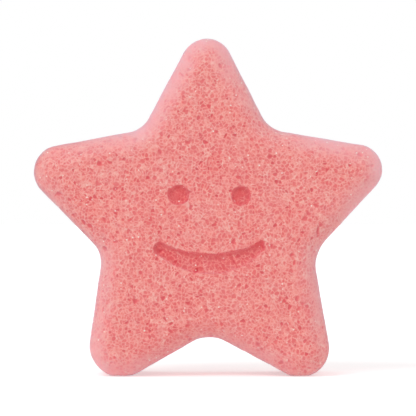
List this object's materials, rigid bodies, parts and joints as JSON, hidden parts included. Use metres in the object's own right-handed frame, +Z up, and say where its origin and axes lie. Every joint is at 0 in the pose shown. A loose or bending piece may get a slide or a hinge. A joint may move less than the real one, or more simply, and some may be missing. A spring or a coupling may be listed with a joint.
{
  "type": "konjac sponge",
  "caption": "Moulded star-shaped konjac facial sponge: open-celled foam body with a simple smiling face pressed in its front, wrapped round the flanks by a thin smooth skin.",
  "frame": {"origin": "on the floor under the middle of the star's overall box, where it stands on its two lower arms", "axes": "+Z up through the upper arm, +X to the right seen from the front, front with the face to -Y, flat back to +Y"},
  "size_m": [0.0882, 0.028, 0.085],
  "materials": {
    "konjac_foam": "matte open-celled plant-gel foam, moist",
    "konjac_skin": "smooth satin skin of the same plant-gel foam, nearly free of pores"
  },
  "bodies": {
    "root": {"foam_core": "konjac_foam", "moulded_skin": "konjac_skin"}
  },
  "joints": []
}
